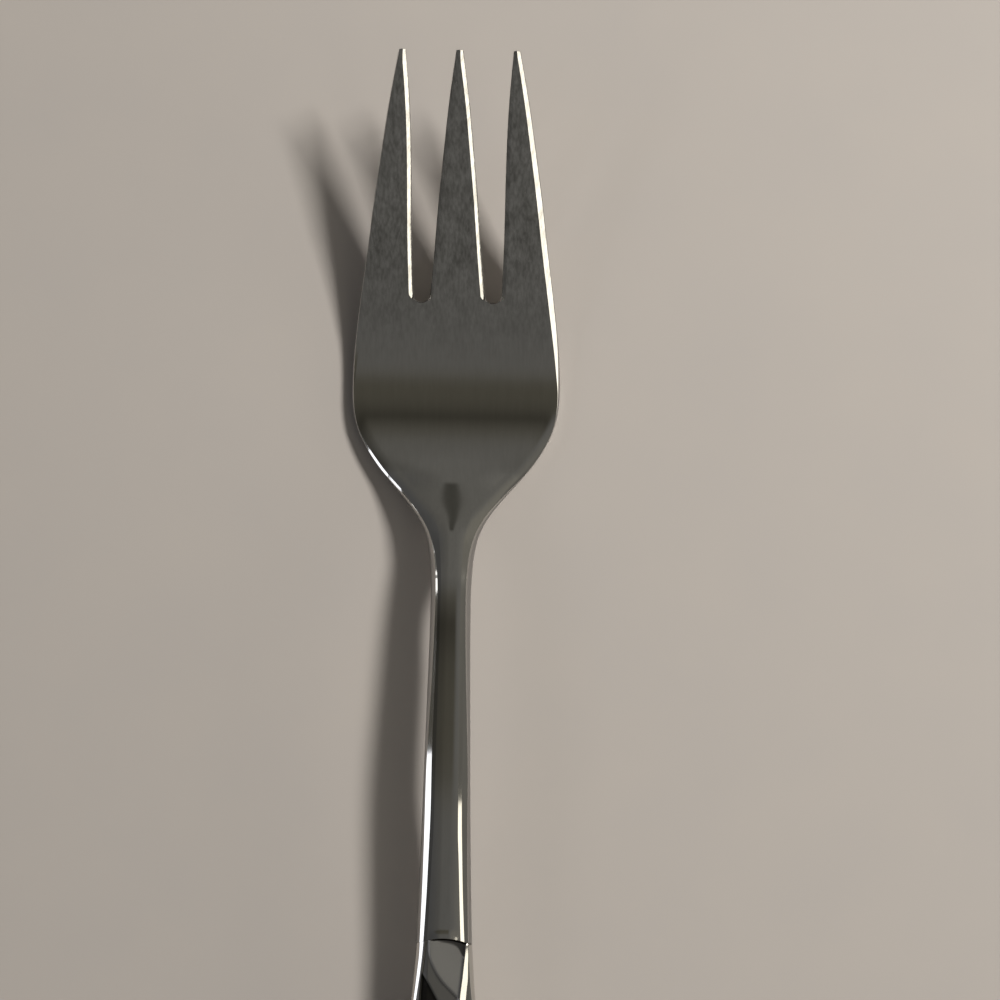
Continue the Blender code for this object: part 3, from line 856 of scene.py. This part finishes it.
def make_shell(name, front, material, node):
    """Presses one shell as an open skin and thickens it inwards."""
    bm = bmesh.new()
    oxide_and_shade = bm.verts.layers.float.new("oxide_and_shade")
    column_of, row_of = numbered_grid(bm, SEAM, len(shell_rows) - 1)
    for vert in bm.verts:
        column, row = round(vert.co.x), round(vert.co.y)
        vert.co, vert[oxide_and_shade] = shell_point(column, row, front)
    bmesh.ops.remove_doubles(bm, verts=bm.verts[:], dist=MERGE)
    bm.normal_update()
    highest = max(bm.faces, key=lambda face: abs(face.normal.z))
    if (highest.normal.z > 0) != front:
        bmesh.ops.reverse_faces(bm, faces=bm.faces[:])
    for edge in bm.edges:
        column_a, column_b = [vert[column_of] for vert in edge.verts]
        at_mouth = all(vert[row_of] == 0 for vert in edge.verts)
        on_ridge = column_a == column_b and column_a in SHELL_RIDGES
        edge.smooth = not (at_mouth or on_ridge)
    piece = make_piece(bm, name, material, "shell_steel", node)
    wall = piece.modifiers.new("sheet", "SOLIDIFY")
    wall.thickness = SHELL_WALL * MM
    wall.offset = -1.0
    flatten(piece)


# Polished stainless steel: bright on the rim and the leaves, with tiny dents from wear.
# Black oxide is left in the sunk ground, which looks dull and dark.
# The same black paints the shade under the lip and beside the panel's left wall.
WEAR_SIZE = 0.5
WEAR_DEPTH = 0.03
WEAR_STRENGTH = 0.04
OXIDE_AND_SHADE_RANGE = {"From Min": 0.2, "From Max": 0.7}
SHELL_ROUGHNESS = {"From Min": 0.02, "From Max": 0.12, "To Min": 0.09, "To Max": 0.37}
POLISHED_GREY = "#CCCAC6"
OXIDE_AND_SHADE_BLACK = "#3A3835"
polished, tree, shader, coordinates = new_material("polished_stainless_steel", {"Metallic": 1.0})
oxide_and_shade_here = add(tree, "Attribute", {"attribute_name": "oxide_and_shade"}).outputs["Fac"]
oxide_and_shade_share = add(tree, "MapRange", OXIDE_AND_SHADE_RANGE, {"Value": oxide_and_shade_here}).outputs[0]
greys = {"data_type": "RGBA", "A": linear(POLISHED_GREY), "B": linear(OXIDE_AND_SHADE_BLACK)}
tone = add(tree, "Mix", greys, {"Factor": oxide_and_shade_share})
tree.links.new(tone.outputs["Result"], shader.inputs["Base Color"])
roughness = add(tree, "MapRange", SHELL_ROUGHNESS, {"Value": oxide_and_shade_here})
tree.links.new(roughness.outputs[0], shader.inputs["Roughness"])
wear = add(tree, "TexNoise", {"Scale": 1 / (WEAR_SIZE * MM), "Detail": 4.0}, {"Vector": coordinates})
wear_relief = {"Strength": WEAR_STRENGTH, "Distance": WEAR_DEPTH * MM}
bump = add(tree, "Bump", wear_relief, {"Height": wear.outputs["Fac"]})
tree.links.new(bump.outputs[0], shader.inputs["Normal"])

make_shell("handle_front", True, polished, "handle_front_shell")

# The back of the hollow handle is plain stainless sheet.
# It is drawn to the same outline and polished.
make_shell("handle_back", False, polished, "handle_back_shell")

# The solder is a thin bright line drawn into the seam all round the handle.
# It is softer and greyer than the steel, and is filed a hair below the shells.
SOLDER_INSET = 0.05
SOLDER_DEPTH = 0.5
SOLDER_ROUGHNESS = 0.34
FLOW_SIZE = 1.2
SOLDER_DARK = "#A6A39B"
SOLDER_LIGHT = "#C4C1B8"
solder_constants = {"Metallic": 1.0, "Roughness": SOLDER_ROUGHNESS}
solder, tree, shader, coordinates = new_material("soft_solder", solder_constants)
flow = add(tree, "TexNoise", {"Scale": 1 / (FLOW_SIZE * MM), "Detail": 3.0}, {"Vector": coordinates})
greys = {"data_type": "RGBA", "A": linear(SOLDER_DARK), "B": linear(SOLDER_LIGHT)}
tone = add(tree, "Mix", greys, {"Factor": flow.outputs["Fac"]})
tree.links.new(tone.outputs["Result"], shader.inputs["Base Color"])
bm = bmesh.new()
last_row = len(shell_rows) - 1
numbered_grid(bm, last_row, 1)
for vert in bm.verts:
    along, upper = round(vert.co.x), round(vert.co.y)
    x, station = on_outline(last_row - abs(along), SOLDER_INSET)
    level = seam_height(station) + SEAM_GAP * (upper - 0.5)
    vert.co = (math.copysign(x, along), place(station + bow(x, station)), level)
bm.normal_update()
bm.faces.ensure_lookup_table()
first = bm.faces[0]
if first.normal.x * first.calc_center_median().x < 0:
    bmesh.ops.reverse_faces(bm, faces=bm.faces[:])
seam = make_piece(bm, "seam_line", solder, "solder", "seam_solder")
wall = seam.modifiers.new("depth", "SOLIDIFY")
wall.thickness = SOLDER_DEPTH * MM
wall.offset = -1.0

# The cement that fills the handle is a cast brown resin.
# It grips the tang and never shows.
CEMENT_ROUGHNESS = 0.85
GRIT_SIZE = 0.8
CEMENT_DARK = "#4A4038"
CEMENT_LIGHT = "#6B5D50"
cement, tree, shader, coordinates = new_material("cast_cement", {"Roughness": CEMENT_ROUGHNESS})
grit = add(tree, "TexNoise", {"Scale": 1 / (GRIT_SIZE * MM), "Detail": 5.0}, {"Vector": coordinates})
browns = {"data_type": "RGBA", "A": linear(CEMENT_DARK), "B": linear(CEMENT_LIGHT)}
tone = add(tree, "Mix", browns, {"Factor": grit.outputs["Fac"]})
tree.links.new(tone.outputs["Result"], shader.inputs["Base Color"])
filler = bpy.data.objects["handle_filler"]
filler.data.materials.clear()
filler.data.materials.append(cement)

# The floor is a plain pale table top.
# It is matt and warm grey, and only carries the fork's shadow.
TABLE_REACH = 4.0
TABLE_ROUGHNESS = 0.75
MOTTLE_SIZE = 14.0
TABLE_DARK = "#ADA7A3"
TABLE_LIGHT = "#B2ABA5"
floor_mesh = bpy.data.meshes.new("table_top")
bm = bmesh.new()
bmesh.ops.create_grid(bm, x_segments=4, y_segments=4, size=TABLE_REACH)
bm.to_mesh(floor_mesh)
bm.free()
floor = bpy.data.objects.new("table_top", floor_mesh)
bpy.context.scene.collection.objects.link(floor)
matt, tree, shader, coordinates = new_material("matt_table", {"Roughness": TABLE_ROUGHNESS})
mottle = add(tree, "TexNoise", {"Scale": 1 / (MOTTLE_SIZE * MM), "Detail": 3.0}, {"Vector": coordinates})
greys = {"data_type": "RGBA", "A": linear(TABLE_DARK), "B": linear(TABLE_LIGHT)}
tone = add(tree, "Mix", greys, {"Factor": mottle.outputs["Fac"]})
tree.links.new(tone.outputs["Result"], shader.inputs["Base Color"])
floor_mesh.materials.append(matt)

# One warm lamp on the right casts the shadow; warm windows on the right and a cool one on the left
# edge the steel with light. A small lamp behind on the left puts short glints on the neck and slots.
AIM_Y = 31.0
AIM = Vector((0.0, AIM_Y * MM, 0.0))


def lamp(name, azimuths, elevations, distance, radiance, colour):
    """A soft rectangular lamp facing the fork, that fills a span of azimuth from +X and of elevation."""
    light = bpy.data.lights.new(name, "AREA")
    light.shape = "RECTANGLE"
    azimuth, elevation = [math.radians(sum(span) / 2) for span in (azimuths, elevations)]
    wide, tall = [math.radians(span[1] - span[0]) for span in (azimuths, elevations)]
    light.size = 2 * distance * math.tan(wide / 2) * math.cos(elevation)
    light.size_y = 2 * distance * math.tan(tall / 2)
    light.energy = radiance * math.pi * light.size * light.size_y
    light.color = linear(colour)[:3]
    made = bpy.data.objects.new(name, light)
    bpy.context.scene.collection.objects.link(made)
    away = Vector((math.cos(azimuth) * math.cos(elevation), math.sin(azimuth) * math.cos(elevation), 0))
    away.z = math.sin(elevation)
    made.location = AIM + distance * away
    made.rotation_euler = away.to_track_quat("Z", "Y").to_euler()


lamp("key_lamp", (21.5, 38.5), (41.5, 52), 0.8, 88.0, "#FFFCF6")
lamp("right_high_window", (-52, -23.5), (47, 60), 1.2, 1.9, "#FFF9E8")
lamp("right_low_window", (-40, 25), (6, 21.5), 1.2, 2.0, "#FFF9EC")
lamp("left_window", (188, 209), (27.5, 36.5), 1.2, 2.2, "#F2F5FF")
lamp("left_window_head", (168, 188), (36.8, 42), 1.2, 2.2, "#F2F5FF")
lamp("back_lamp", (159.5, 165.5), (20.5, 27.5), 1.2, 2.0, "#FFFFFF")
lamp("back_lamp_head", (163, 172.5), (27, 32.5), 1.2, 2.0, "#FFFFFF")

# The room is dim: the dark shape of what holds the camera hangs overhead, the walls are lighter on the
# right, and a dark upright behind shows in the throat of the fork.
ROOM_STRENGTH = 2.0
LOWEST = 0.05
LEAN_SPAN = 1.5
world = bpy.data.worlds.new("dim_room")
bpy.context.scene.world = world
world.use_nodes = True
tree = world.node_tree
way = add(tree, "SeparateXYZ", None, {0: add(tree, "TexCoord").outputs["Generated"]})
height = add(tree, "Math", {"operation": "MAXIMUM", 1: LOWEST}, {0: way.outputs["Z"]}).outputs[0]
lean_x, lean_y = [
    add(tree, "Math", {"operation": "DIVIDE"}, {0: way.outputs[axis], 1: height}).outputs[0] for axis in "XY"
]


def shades(lean, stops):
    """Colours of the room by lean from straight up, from stops of lean, level and warmth."""
    along = add(tree, "MapRange", {"From Min": -LEAN_SPAN, "From Max": LEAN_SPAN}, {"Value": lean})
    ramp = add(tree, "ValToRGB", None, {0: along.outputs[0]})
    while len(ramp.color_ramp.elements) < len(stops):
        ramp.color_ramp.elements.new(0.5)
    for stop, (where, level, warmth) in zip(ramp.color_ramp.elements, stops):
        stop.position = (where + LEAN_SPAN) / 2 / LEAN_SPAN
        stop.color = (level * (1 + warmth / 3), level, level * (1 - warmth), 1.0)
    return ramp.outputs[0]


walls = shades(lean_y, [
    (-1.5, 0.1, 0.05), (-0.85, 0.118, 0.05), (-0.5, 0.128, 0.05), (0.3, 0.13, 0.06), (0.5, 0.148, 0.07),
    (1.5, 0.15, 0.08),
])
overhead = shades(lean_y, [
    (-1.5, 0.1, 0.05), (-0.85, 0.118, 0.05), (-0.5, 0.128, 0.05), (-0.24, 0.13, 0.06),
    (-0.19, 0.12, 0.1), (-0.13, 0.096, 0.16), (-0.08, 0.086, 0.19), (-0.04, 0.083, 0.2),
    (0.01, 0.081, 0.2), (0.05, 0.072, 0.2), (0.085, 0.053, 0.2), (0.105, 0.05, 0.2), (0.14, 0.07, 0.18),
    (0.19, 0.095, 0.15), (0.27, 0.122, 0.1), (0.33, 0.131, 0.08), (0.5, 0.148, 0.07), (1.5, 0.15, 0.08),
])
beside = shades(lean_x, [(-1.5, 0.0, 0.0), (0.07, 0.0, 0.0), (0.12, 1.0, 0.0), (1.5, 1.0, 0.0)])
sides = shades(lean_x, [
    (-1.5, 0.48, 0.0), (-1.2, 0.3, 0.0), (-0.95, 0.2, -0.05), (-0.5, 0.28, -0.08), (-0.32, 0.33, -0.08),
    (-0.13, 0.41, 0.0), (-0.07, 0.5, 0.0), (0.05, 0.5, 0.0), (0.12, 0.56, 0.0), (0.25, 0.7, 0.05),
    (0.4, 0.72, 0.07), (0.6, 0.55, 0.05), (1.0, 0.5, 0.05), (1.5, 0.66, 0.05),
])
room = add(tree, "Mix", {"data_type": "RGBA"}, {"Factor": beside, "A": overhead, "B": walls})
multiply = {"data_type": "RGBA", "blend_type": "MULTIPLY", "Factor": 1.0}
lit = add(tree, "Mix", multiply, {"A": room.outputs["Result"], "B": sides})
POST_MIDDLE = -0.043
POST_HALF = 0.02
POST_EDGE = 0.012
POST_FOOT = 0.92
POST_HEAD = 2.4
POST_FADE = 0.08
POST_COLOUR = (0.031, 0.03, 0.026, 1.0)
post_side = {"From Min": POST_HALF, "From Max": POST_HALF + POST_EDGE, "To Min": 1.0, "To Max": 0.0}
post_foot = {"From Min": POST_FOOT, "From Max": POST_FOOT + POST_FADE}
post_head = {"From Min": POST_HEAD, "From Max": POST_HEAD + POST_FADE, "To Min": 1.0, "To Max": 0.0}
aside = add(tree, "Math", {"operation": "SUBTRACT", 1: POST_MIDDLE}, {0: lean_x})
aside = add(tree, "Math", {"operation": "ABSOLUTE"}, {0: aside.outputs[0]})
within = add(tree, "MapRange", post_side, {"Value": aside.outputs[0]}).outputs[0]
above = add(tree, "MapRange", post_foot, {"Value": lean_y}).outputs[0]
below = add(tree, "MapRange", post_head, {"Value": lean_y}).outputs[0]
tall = add(tree, "Math", {"operation": "MULTIPLY"}, {0: above, 1: below}).outputs[0]
post = add(tree, "Math", {"operation": "MULTIPLY"}, {0: tall, 1: within}).outputs[0]
post_mix = {"data_type": "RGBA", "B": POST_COLOUR}
shown = add(tree, "Mix", post_mix, {"Factor": post, "A": lit.outputs["Result"]})
background = tree.nodes["Background"]
tree.links.new(shown.outputs["Result"], background.inputs["Color"])
background.inputs["Strength"].default_value = ROOM_STRENGTH

# The camera looks straight down on the fork from the height of a hand.
# It stands a little off the fork's middle line and is slightly turned.
CAMERA_HEIGHT = 250.0
CAMERA_X = 5.75
CAMERA_Y = 31.3
CAMERA_TURN = math.radians(1.13)
NEAREST = 0.01
TABLE_VIEW = 125.27
camera_data = bpy.data.cameras.new("camera")
camera_data.angle = 2 * math.atan(TABLE_VIEW / 2 / CAMERA_HEIGHT)
camera_data.clip_start = NEAREST
camera = bpy.data.objects.new("camera", camera_data)
camera.location = (CAMERA_X * MM, CAMERA_Y * MM, CAMERA_HEIGHT * MM)
camera.rotation_euler = (0.0, 0.0, CAMERA_TURN)
bpy.context.scene.collection.objects.link(camera)
bpy.context.scene.camera = camera
bpy.context.scene.view_settings.view_transform = "Standard"
